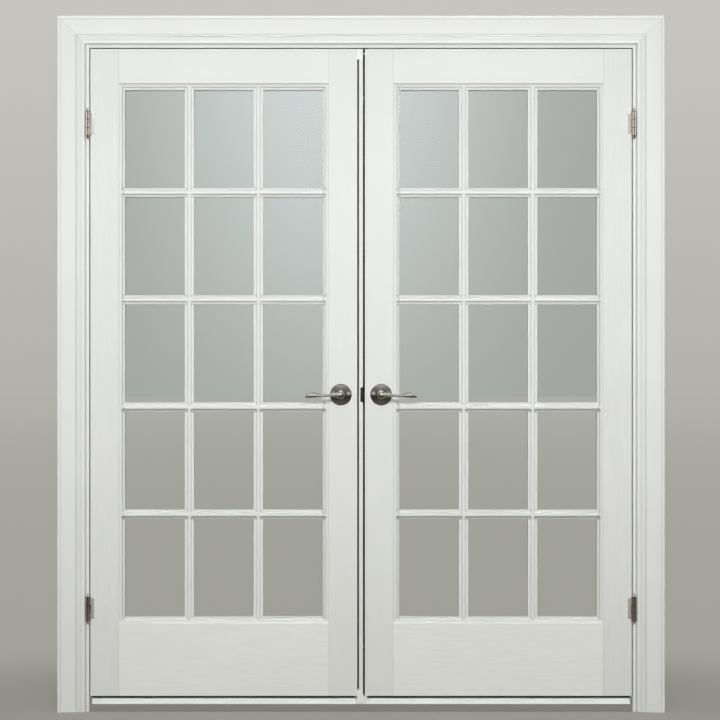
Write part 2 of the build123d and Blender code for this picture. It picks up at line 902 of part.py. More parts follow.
base, deck = sill_base(), sill_deck()
below = base + deck
left_jamb = side_jamb(below)
head_hole = bolt_bar(head_face, head_face + bolt_travel, bolt_hole_play)
sill_hole = bolt_bar(sill_top - bolt_travel, sill_top, bolt_hole_play)
casing_leg, trim_leg = side_casing(), side_brickmould(below)
frame_plates = [frame_hinge_plate(leaf_bottom + low) for low in hinge_bottoms()]
leaf_plates = [leaf_hinge_plate(leaf_bottom + low) for low in hinge_bottoms()]
pins = [hinge_pin(leaf_bottom + low) for low in hinge_bottoms()]

nodes = {
    "left_jamb": [left_jamb],
    "right_jamb": [flipped(left_jamb)],
    "head_jamb": [head_jamb(head_hole + keeper_seat(head_face))],
    "left_casing": [casing_leg],
    "right_casing": [flipped(casing_leg)],
    "head_casing": [head_casing()],
    "left_brickmould": [trim_leg],
    "right_brickmould": [flipped(trim_leg)],
    "head_brickmould": [head_brickmould()],
    "sill_base": [base - sill_hole],
    "sill_deck": [deck],
    "sill_cap": [sill_cap() - sill_hole - keeper_seat(sill_top - keeper_thickness)],
    "sill_end_pads": [end_pad(), flipped(end_pad())],
    "weatherstrips": weatherstrips(),
    "bolt_keepers": [keeper(head_face), keeper(sill_top - keeper_thickness)],
    "left_frame_hinge_plates": frame_plates,
    "right_frame_hinge_plates": [flipped(plate) for plate in frame_plates],
    "left_hinge_pins": pins,
    "right_hinge_pins": [flipped(pin) for pin in pins],
    "left_leaf_hinge_plates": leaf_plates,
    "right_leaf_hinge_plates": [flipped(plate) for plate in leaf_plates],
    "astragal": [astragal()],
    "astragal_end_blocks": end_blocks(),
    "astragal_seal": [astragal_seal()],
    "strike_plate": [strike_plate()],
    "top_bolt": [top_bolt()],
    "bottom_bolt": [bottom_bolt()],
    "left_roses": [flipped(rose()), flipped(other_face(rose()))],
    "right_roses": [rose(), other_face(rose())],
    "left_levers": [flipped(lever()), flipped(other_face(lever()))],
    "right_inside_lever": [lever() - spindle()],
    "right_outside_lever": [other_face(lever()) - spindle()],
    "lever_spindle": [spindle()],
    "latch_case": [latch_case()],
    "latch_bolt": [latch_bolt()],
}
shift_back = Pos(hinge_edge, -face_in, -leaf_bottom)
lock_mortise = shift_back * flipped(case_body(tenon_play) + face_plate() + spindle_hole())
left_leaf = leaf_pieces()
right_stile = left_leaf["lock_stile"][0] - shift_back.inverse() * lock_mortise
for name, group in left_leaf.items():
    nodes["left_" + name] = group
    nodes["right_" + name] = [flipped(piece) for piece in group]
nodes["right_lock_stile"] = [flipped(right_stile)]

os.makedirs("parts", exist_ok=True)
for name, group in nodes.items():
    solids = [solid for piece in group for solid in piece.solids()]
    export_step(Compound(children=solids) if len(solids) > 1 else solids[0], f"parts/{name}.step")
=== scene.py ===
import math

import bmesh
import bpy
import numpy as np
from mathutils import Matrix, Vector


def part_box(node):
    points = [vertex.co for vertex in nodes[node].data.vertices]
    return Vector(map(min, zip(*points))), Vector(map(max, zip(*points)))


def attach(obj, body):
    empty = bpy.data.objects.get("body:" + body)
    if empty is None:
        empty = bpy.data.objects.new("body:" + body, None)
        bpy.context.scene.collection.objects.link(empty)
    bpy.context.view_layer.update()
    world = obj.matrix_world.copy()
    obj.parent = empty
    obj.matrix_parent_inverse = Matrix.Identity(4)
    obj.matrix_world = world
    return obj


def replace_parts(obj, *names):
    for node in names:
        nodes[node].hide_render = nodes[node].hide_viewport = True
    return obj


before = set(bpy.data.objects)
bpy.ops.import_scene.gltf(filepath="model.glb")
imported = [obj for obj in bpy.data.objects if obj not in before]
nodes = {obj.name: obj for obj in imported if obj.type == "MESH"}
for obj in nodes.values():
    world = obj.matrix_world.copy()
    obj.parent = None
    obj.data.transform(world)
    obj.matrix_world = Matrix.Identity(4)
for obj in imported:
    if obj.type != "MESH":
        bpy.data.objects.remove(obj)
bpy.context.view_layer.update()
scene = bpy.context.scene
scene.view_settings.view_transform = "Standard"


# Camera
# The eye stands 7 m back, level with the middle of the doors and square to them, so that
# uprights stay upright and only the depth of the mouldings shows any perspective.

leaf_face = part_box("right_lock_stile")[0].y
eye_distance = 7.0
eye_x, eye_z = -0.0032, 1.105
view_height = 2.2619
sensor = 36
camera_data = bpy.data.cameras.new("camera")
camera_data.sensor_width = sensor
camera_data.lens = sensor * eye_distance / view_height
camera = bpy.data.objects.new("camera", camera_data)
camera.location = (eye_x, leaf_face - eye_distance, eye_z)
camera.rotation_euler = (math.radians(90), 0, 0)
scene.collection.objects.link(camera)
scene.camera = camera


# Light and backdrop
# A wide softbox high in front lights the top of the doors more than their foot, a low one their
# foot and the sill, and one overhead the mouldings. The room round them is an even pale grey for
# light, has bright places for gloss, and is a grey that deepens towards the floor for the eye.


def linear(hex_colour):
    """An sRGB hex colour as linear red, green, blue and alpha."""
    part = np.array([int(hex_colour[i : i + 2], 16) / 255 for i in (1, 3, 5)])
    value = np.where(part <= 0.04045, part / 12.92, ((part + 0.055) / 1.055) ** 2.4)
    return (*value.tolist(), 1.0)


def add(tree, kind, links=None, **settings):
    """Adds a node. links maps each input to a value, to an output, or to a node for its first output."""
    made = tree.nodes.new(kind)
    for name, value in settings.items():
        setattr(made, name, value)
    for socket, value in (links or {}).items():
        if isinstance(value, bpy.types.Node):
            value = value.outputs[0]
        if isinstance(value, bpy.types.NodeSocket):
            tree.links.new(value, made.inputs[socket])
        else:
            made.inputs[socket].default_value = value
    return made


def softbox(name, place, aim, width, height, power, spread, colour):
    """A rectangular lamp at place that faces aim and throws its light within the spread, in degrees."""
    lamp = bpy.data.lights.new(name, "AREA")
    lamp.shape = "RECTANGLE"
    lamp.size, lamp.size_y = width, height
    lamp.energy = power
    lamp.spread = math.radians(spread)
    lamp.color = linear(colour)[:3]
    holder = bpy.data.objects.new(name, lamp)
    holder.location = place
    holder.visible_glossy = False
    holder.visible_transmission = False
    away = np.array(place, float) - np.array(aim, float)
    flat = math.hypot(away[0], away[1])
    holder.rotation_euler = (math.atan2(flat, away[2]), 0, math.atan2(away[0], -away[1]))
    scene.collection.objects.link(holder)


softbox(
    "front_softbox", place=(0, -4.2, 2.3), aim=(0, 0, 1.62), width=5.0, height=0.3,
    power=29, spread=62, colour="#fffefd",
)
softbox(
    "low_softbox", place=(0, -4.6, 0.8), aim=(0, 0, 0.05), width=5.0, height=0.5,
    power=5.6, spread=44, colour="#fffef3",
)
softbox(
    "overhead_softbox", place=(0, -1.3, 4.3), aim=(0, 0, 0.9), width=4.0, height=0.8,
    power=8, spread=120, colour="#fafdff",
)

world = bpy.data.worlds.new("studio")
scene.world = world
world.use_nodes = True
sky = world.node_tree
sky.nodes.clear()
way = add(sky, "ShaderNodeTexCoord").outputs["Generated"]
way = add(sky, "ShaderNodeSeparateXYZ", {0: way})
sideways, onward, climb = way.outputs["X"], way.outputs["Y"], way.outputs["Z"]

# The wall as the eye sees it, and a flatter one behind the panes. A climb is the sine of the
# angle above the horizon.
rise = add(sky, "ShaderNodeMapRange", {0: climb, 1: -0.16, 2: 0.16})
wall = add(sky, "ShaderNodeMix", {0: rise, 6: linear("#9e9d97"), 7: linear("#c7c6c1")}, data_type="RGBA")
beyond = add(sky, "ShaderNodeMix", {0: rise, 6: linear("#a0a29c"), 7: linear("#afb1ac")}, data_type="RGBA")

# The room as gloss mirrors it. It brightens upwards to a bright ceiling, and two low upright
# strips of light stand on either side: the turn to a strip's middle, half its width, and its power.
room_tint = (0.98, 1.0, 0.99)
side_strips = ((2.45, 0.14, 1.6), (1.75, 0.22, 2.6))
lift = add(
    sky, "ShaderNodeMapRange", {0: climb, 1: -0.1, 2: 0.5, 3: 0.05, 4: 0.5}, interpolation_type="SMOOTHSTEP"
)
ceiling = add(
    sky, "ShaderNodeMapRange", {0: climb, 1: 0.45, 2: 0.8, 3: 0.0, 4: 1.0}, interpolation_type="SMOOTHSTEP"
)
lift = add(sky, "ShaderNodeMath", {0: lift, 1: ceiling}, operation="ADD")
turn = add(sky, "ShaderNodeMath", {0: sideways, 1: onward}, operation="ARCTAN2")
turn = add(sky, "ShaderNodeMath", {0: turn}, operation="ABSOLUTE")
low_down = add(sky, "ShaderNodeMapRange", {0: climb, 1: 0.3, 2: 0.14}, interpolation_type="SMOOTHSTEP")
for middle, half, power in side_strips:
    away = add(sky, "ShaderNodeMath", {0: turn, 1: middle}, operation="SUBTRACT")
    away = add(sky, "ShaderNodeMath", {0: away}, operation="ABSOLUTE")
    strip = add(sky, "ShaderNodeMapRange", {0: away, 1: half, 2: 0.6 * half, 3: 0.0, 4: power})
    strip = add(sky, "ShaderNodeMath", {0: strip, 1: low_down}, operation="MULTIPLY")
    lift = add(sky, "ShaderNodeMath", {0: lift, 1: strip}, operation="ADD")
room = add(sky, "ShaderNodeVectorMath", {0: room_tint, "Scale": lift}, operation="SCALE")

# A soft cool pool of light high in front, which the upper panes mirror near the middle.
pool_side, pool_half, pool_power = -0.014, 0.125, 6.8
pool_tint = (0.87, 1.0, 1.08)
aside = add(sky, "ShaderNodeMath", {0: sideways, 1: pool_side}, operation="SUBTRACT")
aside = add(sky, "ShaderNodeMath", {0: aside}, operation="ABSOLUTE")
pool = add(sky, "ShaderNodeMapRange", {0: aside, 1: pool_half, 2: 0.0}, interpolation_type="SMOOTHSTEP")
above = add(sky, "ShaderNodeMapRange", {0: climb, 1: -0.09, 2: 0.15}, interpolation_type="SMOOTHSTEP")
below = add(sky, "ShaderNodeMapRange", {0: climb, 1: 0.45, 2: 0.2}, interpolation_type="SMOOTHSTEP")
in_front = add(sky, "ShaderNodeMath", {0: onward, 1: 0.0}, operation="LESS_THAN")
for factor in (above, below, in_front, pool_power):
    pool = add(sky, "ShaderNodeMath", {0: pool, 1: factor}, operation="MULTIPLY")
pool = add(sky, "ShaderNodeVectorMath", {0: pool_tint, "Scale": pool}, operation="SCALE")
mirrored = add(sky, "ShaderNodeVectorMath", {0: room, 1: pool}, operation="ADD")

# Each kind of ray gets its own room: matt surfaces an even one, gloss the mirrored one, the eye the
# wall, and what is seen through the panes the wall beyond.
even = add(sky, "ShaderNodeMapRange", {0: climb, 1: -0.1, 2: 1.0, 3: 0.12, 4: 0.5})
even = add(sky, "ShaderNodeBackground", {"Color": linear("#fdfcfb"), "Strength": even})
ray = add(sky, "ShaderNodeLightPath")
by_eye, through_glass = ray.outputs["Is Camera Ray"], ray.outputs["Is Transmission Ray"]
tone = add(
    sky, "ShaderNodeMix", {0: through_glass, 6: wall.outputs[2], 7: beyond.outputs[2]}, data_type="RGBA"
)
shown = add(sky, "ShaderNodeBackground", {"Color": tone.outputs[2], "Strength": 1.0})
mirrored = add(sky, "ShaderNodeBackground", {"Color": mirrored, "Strength": 1.0})
seen = add(sky, "ShaderNodeMath", {0: by_eye, 1: through_glass}, operation="MAXIMUM")
lit = add(sky, "ShaderNodeMixShader", {0: ray.outputs["Is Glossy Ray"], 1: even, 2: mirrored})
studio = add(sky, "ShaderNodeMixShader", {0: seen, 1: lit, 2: shown})
add(sky, "ShaderNodeOutputWorld", {0: studio})


# Floor
# A plain matt floor. It takes the doors' soft shadow close to them, and further away it
# passes into the tone of the backdrop. Gloss mirrors it darker the further it lies.


def material(name):
    """An empty node material and its tree."""
    made = bpy.data.materials.new(name)
    made.use_nodes = True
    made.node_tree.nodes.clear()
    return made, made.node_tree


ground_paint, tree = material("matt_floor")
spot = add(tree, "ShaderNodeTexCoord").outputs["Object"]
oval = add(tree, "ShaderNodeMapping", {"Vector": spot, "Scale": (0.5, 1, 1)})
reach = add(tree, "ShaderNodeVectorMath", {0: oval}, operation="LENGTH").outputs["Value"]
matt = add(tree, "ShaderNodeBsdfDiffuse", {"Color": linear("#b1b0a9")})
depth = add(tree, "ShaderNodeMapRange", {0: reach, 1: 1.5, 2: 40.0})
tone = add(tree, "ShaderNodeMix", {0: depth, 6: linear("#a3a29b"), 7: linear("#b1b0ab")}, data_type="RGBA")
glow = add(tree, "ShaderNodeEmission", {"Color": tone.outputs[2]})
ray = add(tree, "ShaderNodeLightPath")
glossy, through_glass = ray.outputs["Is Glossy Ray"], ray.outputs["Is Transmission Ray"]
seen = add(tree, "ShaderNodeMath", {0: ray.outputs["Is Camera Ray"], 1: glossy}, operation="MAXIMUM")
seen = add(tree, "ShaderNodeMath", {0: seen, 1: through_glass}, operation="MAXIMUM")
far = add(tree, "ShaderNodeMapRange", {0: reach, 1: 0.55, 2: 1.6}, interpolation_type="SMOOTHSTEP")
share = add(tree, "ShaderNodeMapRange", {0: far, 3: 0.35, 4: 1.0})
share = add(tree, "ShaderNodeMath", {0: seen, 1: share}, operation="MULTIPLY")
plain_floor = add(tree, "ShaderNodeMixShader", {0: share, 1: matt, 2: glow})
away = add(tree, "ShaderNodeMapRange", {0: reach, 1: 0.8, 2: 2.0})
dim = add(tree, "ShaderNodeMix", {0: away, 6: linear("#a3a199"), 7: linear("#64625c")}, data_type="RGBA")
dim = add(tree, "ShaderNodeEmission", {"Color": dim.outputs[2]})
bounced = add(tree, "ShaderNodeMath", {0: glossy, 1: through_glass}, operation="SUBTRACT", use_clamp=True)
both = add(tree, "ShaderNodeMixShader", {0: bounced, 1: plain_floor, 2: dim})
add(tree, "ShaderNodeOutputMaterial", {0: both})

edge = 60.0
floor_mesh = bpy.data.meshes.new("floor")
corners = [(-edge, -edge, 0), (edge, -edge, 0), (edge, edge, 0), (-edge, edge, 0)]
floor_mesh.from_pydata(corners, [], [(0, 1, 2, 3)])
floor_mesh.materials.append(ground_paint)
floor = bpy.data.objects.new("floor", floor_mesh)
scene.collection.objects.link(floor)


# Painted leaves
# The leaves are stiles and rails of wood under sprayed white satin paint. The open grain still
# shows through as fine raised lines along each member, and the coat gives a soft broad gloss.
# Shade along the mouldings and in the gaps beside the meeting strip is painted into the colour.


def line(tree, distance, half_width, depth=0.2):
    """depth on a line and 0 beside it, from the signed distance to it in metres."""
    size = add(tree, "ShaderNodeMath", {0: distance}, operation="ABSOLUTE")
    return add(tree, "ShaderNodeMapRange", {0: size, 1: half_width, 2: 0.4 * half_width, 4: depth})


def white_paint(name, along, colour, grain, rough, lines=(), gap_shade=None):
    """Paint over wood whose grain runs along X (0) or Z (2) and is as strong as grain says.

    The relief is pores, a noise drawn out along the grain, on rings, the sine of a slow broad noise.
    lines are functions that draw fine dark lines: seams, and painted shade. core is painted shade
    deeper in: its colour, and the two depths Y between which it takes over. Real pores are finer, and are
    drawn as wide as they need to show.
    """
    pore_width, pore_length = 0.0024, 0.07
    ring_width, ring_length, ring_turns, ring_share = 1 / 26, 0.625, 60.0, 0.55
    cloud_size = 0.2
    made, tree = material(name)
    spot = add(tree, "ShaderNodeTexCoord").outputs["Object"]
    scale = [1 / pore_width] * 3
    scale[along] = 1 / pore_length
    pores = add(tree, "ShaderNodeMapping", {"Vector": spot, "Scale": scale})
    pores = add(tree, "ShaderNodeTexNoise", {"Vector": pores, "Scale": 1.0, "Detail": 4.0, "Roughness": 0.6})
    pores = add(tree, "ShaderNodeMapRange", {0: pores, 1: 0.42, 2: 0.62})
    scale = [1 / ring_width] * 3
    scale[along] = 1 / ring_length
    rings = add(tree, "ShaderNodeMapping", {"Vector": spot, "Scale": scale})
    rings = add(tree, "ShaderNodeTexNoise", {"Vector": rings, "Scale": 1.0, "Detail": 1.5, "Roughness": 0.45})
    rings = add(tree, "ShaderNodeMath", {0: rings, 1: ring_turns}, operation="MULTIPLY")
    rings = add(tree, "ShaderNodeMath", {0: rings}, operation="SINE")
    rings = add(tree, "ShaderNodeMapRange", {0: rings, 1: -1.0, 2: 1.0, 3: 0.0, 4: 1.0})
    relief = add(tree, "ShaderNodeMath", {0: rings, 1: ring_share, 2: pores}, operation="MULTIPLY_ADD")
    cloud = add(tree, "ShaderNodeMapping", {"Vector": spot, "Scale": [1 / cloud_size] * 3})
    cloud = add(tree, "ShaderNodeTexNoise", {"Vector": cloud, "Scale": 1.0, "Detail": 2.0})
    cloud = add(tree, "ShaderNodeMapRange", {0: cloud, 1: 0.3, 2: 0.7, 3: 0.985, 4: 1.01})
    dark, light = 1.0 - 0.035 * grain, 1.0 + 0.01 * grain
    value = add(tree, "ShaderNodeMapRange", {0: relief, 1: 0.0, 2: 1.5, 3: dark, 4: light})
    value = add(tree, "ShaderNodeMath", {0: value, 1: cloud}, operation="MULTIPLY")
    for draw in lines:
        keep = add(tree, "ShaderNodeMath", {0: 1.0, 1: draw(tree, spot)}, operation="SUBTRACT")
        value = add(tree, "ShaderNodeMath", {0: value, 1: keep}, operation="MULTIPLY")
    shade = add(tree, "ShaderNodeVectorMath", {0: linear(colour)[:3], "Scale": value}, operation="SCALE")
    if gap_shade:
        inner, front, back = gap_shade
        y = add(tree, "ShaderNodeSeparateXYZ", {0: spot}).outputs["Y"]
        deep = add(tree, "ShaderNodeMapRange", {0: y, 1: front, 2: front + 0.001})
        near = add(tree, "ShaderNodeMapRange", {0: y, 1: back, 2: back - 0.0004})
        deep = add(tree, "ShaderNodeMath", {0: deep, 1: near}, operation="MULTIPLY")
        shade = add(tree, "ShaderNodeMix", {0: deep, 6: shade, 7: linear(inner)}, data_type="RGBA").outputs[2]
    coat = add(tree, "ShaderNodeMapRange", {0: pores, 3: rough + 0.07, 4: rough - 0.03})
    bump = add(tree, "ShaderNodeBump", {"Height": relief, "Strength": 0.35 * grain, "Distance": 0.00025})
    paint = add(
        tree, "ShaderNodeBsdfPrincipled",
        {"Base Color": shade, "Roughness": coat, "Normal": bump, "IOR": 1.48},
    )
    add(tree, "ShaderNodeOutputMaterial", {0: paint})
    return made


def coat_with(finish, *names):
    """Gives these CAD nodes a material."""
    for name in names:
        for slot in nodes[name].material_slots:
            slot.material = finish


def level_lines(heights, offset, half_width, depth):
    """Level lines of painted shade, one at that offset from each of these heights."""
    def draw(tree, spot):
        z = add(tree, "ShaderNodeSeparateXYZ", {0: spot}).outputs["Z"]
        mark = 0.0
        for height in heights:
            away = add(tree, "ShaderNodeMath", {0: z, 1: height + offset}, operation="SUBTRACT")
            here = line(tree, away, half_width, depth)
            mark = add(tree, "ShaderNodeMath", {0: mark, 1: here}, operation="MAXIMUM")
        return mark
    return draw


def upright_line(place, half_width, depth=0.2):
    """A plumb dark line at that distance on either side of the middle: a seam, or painted shade."""
    def draw(tree, spot):
        x = add(tree, "ShaderNodeSeparateXYZ", {0: spot}).outputs["X"]
        x = add(tree, "ShaderNodeMath", {0: x}, operation="ABSOLUTE")
        x = add(tree, "ShaderNodeMath", {0: x, 1: place}, operation="SUBTRACT")
        return line(tree, x, half_width, depth)
    return draw


# Where a rail's shoulders meet the stiles there is a seam, and along the edges of the mouldings round the
# panes the rails and stiles carry lines of painted shade.
sticking = 0.02
hinge_side_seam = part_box("right_hinge_stile")[0].x + sticking
lock_side_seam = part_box("right_lock_stile")[1].x - sticking
seams = [upright_line(place, 0.0014, 0.35) for place in (hinge_side_seam, lock_side_seam)]
sticking_top, bead_top = 1.9735, 1.965
rail_lines = seams + [level_lines([sticking_top], 0, 0.0022, 0.3), level_lines([bead_top], 0, 0.0018, 0.12)]
hinge_side_edge, lock_side_edge = 0.745, 0.1175
stile_lines = [upright_line(hinge_side_edge, 0.0026), upright_line(lock_side_edge, 0.0026, 0.08)]

# Under each cross bar's mouldings there is painted shade, softer on the bars above the eye. A shade is
# its offset from the bar's middle, its half width and its depth.
half_bar = 0.0145
bars_low, bars_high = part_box("right_cross_bars")
bars = np.linspace(bars_low.z + half_bar, bars_high.z - half_bar, 4).tolist()
high_bar_shades = ((0.0115, 0.008, 0.18), (-0.005, 0.002, 0.45), (-0.0135, 0.0025, 0.25))
low_bar_shades = (
    (0.0115, 0.007, 0.1), (-0.0088, 0.0018, 0.7), (-0.0125, 0.005, 0.28), (-0.0148, 0.0014, 0.3),
)
hinge_side_bead, lock_side_bead = 0.748, 0.118
bar_lines = [level_lines(bars[2:], *shade) for shade in high_bar_shades]
bar_lines += [level_lines(bars[:2], *shade) for shade in low_bar_shades]
bar_lines += [upright_line(hinge_side_bead, 0.005, 0.16), upright_line(lock_side_bead, 0.006, 0.18)]

satin = 0.38
hinge_stile_paint = white_paint("satin_paint_on_bold_upright_grain", 2, "#e6e8e7", 1.0, satin, stile_lines)
lock_stile_paint = white_paint("satin_paint_on_faint_upright_grain", 2, "#e6e8e6", 0.35, satin, stile_lines)
top_rail_paint = white_paint("satin_paint_on_faint_level_grain", 0, "#e8eae8", 0.3, satin, rail_lines)
# The bottom rail's white is a lighter copy of the same paint: painted light.
lit_bottom_rail_paint = white_paint("satin_paint_on_bold_level_grain", 0, "#eff1ee", 1.1, satin, rail_lines)
bar_paint = white_paint("satin_paint_on_bars", 0, "#e9ebea", 0.3, satin, bar_lines)
# The meeting strip on the left leaf is white, a little lighter than the stiles for a painted sheen,
# and its sides in the two gaps are darker with painted shade.
# Painted shade on the strip's sides: its colour, and the depths Y between which it shows.
strip_gap_shade = ("#82817b", -0.0545, -0.0128)
strip_paint = white_paint("satin_paint_on_meeting_strip", 2, "#eaebe8", 0.5, 0.4, gap_shade=strip_gap_shade)
for side in ("left_", "right_"):
    coat_with(hinge_stile_paint, side + "hinge_stile")
    coat_with(lock_stile_paint, side + "lock_stile", side + "upright_bars")
    coat_with(top_rail_paint, side + "top_rail")
    coat_with(lit_bottom_rail_paint, side + "bottom_rail")
    coat_with(bar_paint, side + "cross_bars", side + "glazing_beads")
coat_with(strip_paint, "astragal")


# Frame, casing and outside trim
# Jambs and head are planed wood, and the casing is a run of primed moulding mitred at the corners.
# Both wear a smooth coat of white, with only a hint of grain and a fine mitre line. The casing's head has
# a lighter copy of that white, painted light, and shade along the moulding and by the jamb is painted in.

opening_x, opening_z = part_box("right_casing")[0].x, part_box("head_casing")[0].z


def out_of_opening(tree, spot, inset):
    """How far a point lies past the opening's side and past its top, both moved outwards by inset."""
    part = add(tree, "ShaderNodeSeparateXYZ", {0: spot})
    x = add(tree, "ShaderNodeMath", {0: part.outputs["X"]}, operation="ABSOLUTE")
    x = add(tree, "ShaderNodeMath", {0: x, 1: opening_x + inset}, operation="SUBTRACT")
    z = add(tree, "ShaderNodeMath", {0: part.outputs["Z"], 1: opening_z + inset}, operation="SUBTRACT")
    return x, z


def mitre(tree, spot):
    """The seam of the casing's corners, where width and height run out equally."""
    x, z = out_of_opening(tree, spot, 0.0)
    gap = add(tree, "ShaderNodeMath", {0: x, 1: z}, operation="SUBTRACT")
    return line(tree, gap, 0.0012)


def run_of_line(inset, half_width, depth=0.2):
    """A line of painted shade that follows the opening at that distance outside it."""
    def draw(tree, spot):
        x, z = out_of_opening(tree, spot, inset)
        away = add(tree, "ShaderNodeMath", {0: x, 1: z}, operation="MAXIMUM")
        return line(tree, away, half_width, depth)
    return draw


# Painted shade in the moulding's hollow near the opening, at the step beyond it and at the outer bead, and
# in the corner where the casing stands before the jamb.
casing_lines = [mitre, run_of_line(0.0135, 0.007, 0.1)]
casing_lines += [run_of_line(0.0276, 0.0018), run_of_line(0.0762, 0.0016)]
jamb_corner_shade = run_of_line(-0.0012, 0.0024, 0.36)
jamb_paint = white_paint("smooth_paint_on_jambs", 2, "#e7e9e7", 0.25, 0.4, [jamb_corner_shade])
head_paint = white_paint("smooth_paint_on_head", 0, "#e7e9e7", 0.25, 0.4, [jamb_corner_shade])
casing_paint = white_paint("smooth_paint_on_casing_legs", 2, "#e9ebea", 0.2, 0.36, casing_lines)
# The casing's head takes a lighter copy of the legs' white: painted light.
lit_casing_head_paint = white_paint("smooth_paint_on_casing_head", 0, "#f4f6f4", 0.2, 0.36, casing_lines)
coat_with(jamb_paint, "left_jamb", "right_jamb")
coat_with(head_paint, "head_jamb")
coat_with(casing_paint, "left_casing", "right_casing", "left_brickmould", "right_brickmould")
coat_with(lit_casing_head_paint, "head_casing", "head_brickmould")


# Panes
# Clear float glass, bedded between the wood outside and the beads inside. It is nearly
# colourless, with a faint grey-green body and a sharp weak reflection.

clear_glass, tree = material("float_glass")
pane = add(
    tree, "ShaderNodeBsdfPrincipled",
    {"Base Color": linear("#fcfefd"), "Roughness": 0.0, "IOR": 1.5, "Transmission Weight": 1.0},
)
ray = add(tree, "ShaderNodeLightPath")
shadow, diffuse = ray.outputs["Is Shadow Ray"], ray.outputs["Is Diffuse Ray"]
unseen = add(tree, "ShaderNodeMath", {0: shadow, 1: diffuse}, operation="MAXIMUM")
tinted_air = add(tree, "ShaderNodeBsdfTransparent", {"Color": linear("#eef3f1")})
both = add(tree, "ShaderNodeMixShader", {0: unseen, 1: pane, 2: tinted_air})
add(tree, "ShaderNodeOutputMaterial", {0: both})
coat_with(clear_glass, "left_glass_panes", "right_glass_panes")


# Sill
# The base is a moulded grey-brown composite with a fine pebbled skin. A satin aluminium sheet
# covers its slope, and a white plastic cap stands on it under the leaves.


def moulded(name, colour, rough, pebble, relief):
    """A moulded plastic: an even colour with a pebbled skin of that size and relief in metres."""
    made, tree = material(name)
    spot = add(tree, "ShaderNodeTexCoord").outputs["Object"]
    grit = add(tree, "ShaderNodeTexNoise", {"Vector": spot, "Scale": 1 / pebble, "Detail": 3.0})
    tone = add(tree, "ShaderNodeMapRange", {0: grit, 1: 0.3, 2: 0.7, 3: 0.93, 4: 1.05})
    tint = add(tree, "ShaderNodeVectorMath", {0: linear(colour)[:3], "Scale": tone}, operation="SCALE")
    bump = add(tree, "ShaderNodeBump", {"Height": grit, "Strength": 0.4, "Distance": relief})
    plastic = add(
        tree, "ShaderNodeBsdfPrincipled",
        {"Base Color": tint, "Roughness": rough, "Normal": bump, "IOR": 1.49},
    )
    add(tree, "ShaderNodeOutputMaterial", {0: plastic})
    return made


def worked_metal(name, colour, rough, along, brushing, banding=None):
    """A metal brushed along one axis: its fine scratches vary the gloss and tilt the surface a little.

    The scratches are a noise drawn out along that axis, coarser than real ones so that they show.
    banding draws a factor for the colour and the share of bare metal.
    """
    scratch_width, scratch_length = 0.0006, 0.02
    made, tree = material(name)
    spot = add(tree, "ShaderNodeTexCoord").outputs["Object"]
    scale = [1 / scratch_width] * 3
    scale[along] = 1 / scratch_length
    scratch = add(tree, "ShaderNodeMapping", {"Vector": spot, "Scale": scale})
    scratch = add(tree, "ShaderNodeTexNoise", {"Vector": scratch, "Scale": 1.0, "Detail": 3.0})
    gloss = add(tree, "ShaderNodeMapRange", {0: scratch, 1: 0.3, 2: 0.7, 3: rough - 0.04, 4: rough + 0.05})
    tone = add(tree, "ShaderNodeMapRange", {0: scratch, 1: 0.3, 2: 0.7, 3: 0.94, 4: 1.04})
    tint = add(tree, "ShaderNodeVectorMath", {0: linear(colour)[:3], "Scale": tone}, operation="SCALE")
    bare = 1.0
    if banding:
        band, bare = banding(tree, spot)
        tint = add(tree, "ShaderNodeVectorMath", {0: tint, "Scale": band}, operation="SCALE")
    bump = add(tree, "ShaderNodeBump", {"Height": scratch, "Strength": brushing, "Distance": 0.00004})
    metal = add(
        tree, "ShaderNodeBsdfPrincipled",
        {"Base Color": tint, "Metallic": bare, "Roughness": gloss, "Normal": bump},
    )
    add(tree, "ShaderNodeOutputMaterial", {0: metal})
    return made


coat_with(moulded("moulded_composite", "#93908a", 0.62, 0.0016, 0.00012), "sill_base")
coat_with(worked_metal("brushed_aluminium_sill", "#b3b0a9", 0.38, 0, 0.3), "sill_deck")
coat_with(moulded("white_sill_plastic", "#f9fdfd", 0.4, 0.0012, 0.00003), "sill_cap")
coat_with(moulded("grey_corner_foam", "#8f8e88", 0.85, 0.0009, 0.0002), "sill_end_pads")


# Seals and end blocks
# The weatherstrips, the strip's seal and the sweeps are dull black rubber. The blocks that close
# the ends of the meeting strip are moulded plastic in the white of the paint.

seal_rubber = moulded("seal_rubber", "#2b2a27", 0.75, 0.001, 0.00008)
coat_with(seal_rubber, "weatherstrips", "astragal_seal", "left_bottom_sweep", "right_bottom_sweep")
coat_with(moulded("astragal_end_plastic", "#f0f2ee", 0.42, 0.0012, 0.00004), "astragal_end_blocks")


# Hinges
# Pressed steel leaves with rolled knuckles, plated satin nickel. The pins end in small turned
# steeples above and below the barrel, and countersunk screws hold the plates.

sides = (("left", -1), ("right", 1))
pins_low, pins_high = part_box("right_hinge_pins")
barrel_x, barrel_y = (pins_low.x + pins_high.x) / 2, (pins_low.y + pins_high.y) / 2
plates_low, plates_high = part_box("right_frame_hinge_plates")
barrel_length, knuckles = 0.076, 3
barrel_lows = (plates_low.z, plates_high.z - barrel_length)
barrel_flank, barrel_back = 0.0064, -0.0605


